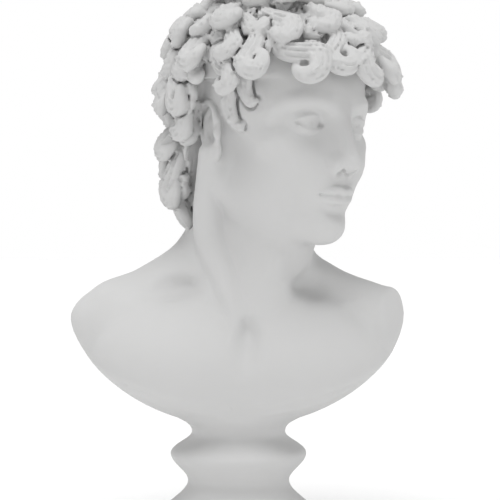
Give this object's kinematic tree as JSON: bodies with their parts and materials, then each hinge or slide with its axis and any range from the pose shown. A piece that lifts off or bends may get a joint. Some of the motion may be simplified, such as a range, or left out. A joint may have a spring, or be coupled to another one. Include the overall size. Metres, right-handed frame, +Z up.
{
  "type": "head sculpture",
  "caption": "White plaster-look bust of a curly-haired youth with turned head, bare cut shoulders and a round turned socle, cast in one piece.",
  "frame": {"origin": "centre of the socle's flat underside, on the surface it stands on", "axes": "+Z up along the socle's axis, -Y to the viewer in front of the chest, +X to that viewer's right"},
  "size_m": [0.2525, 0.19, 0.4286],
  "materials": {
    "white_cast": "matt white cast resin or plaster"
  },
  "bodies": {
    "root": {"bust": "white_cast"}
  },
  "joints": []
}
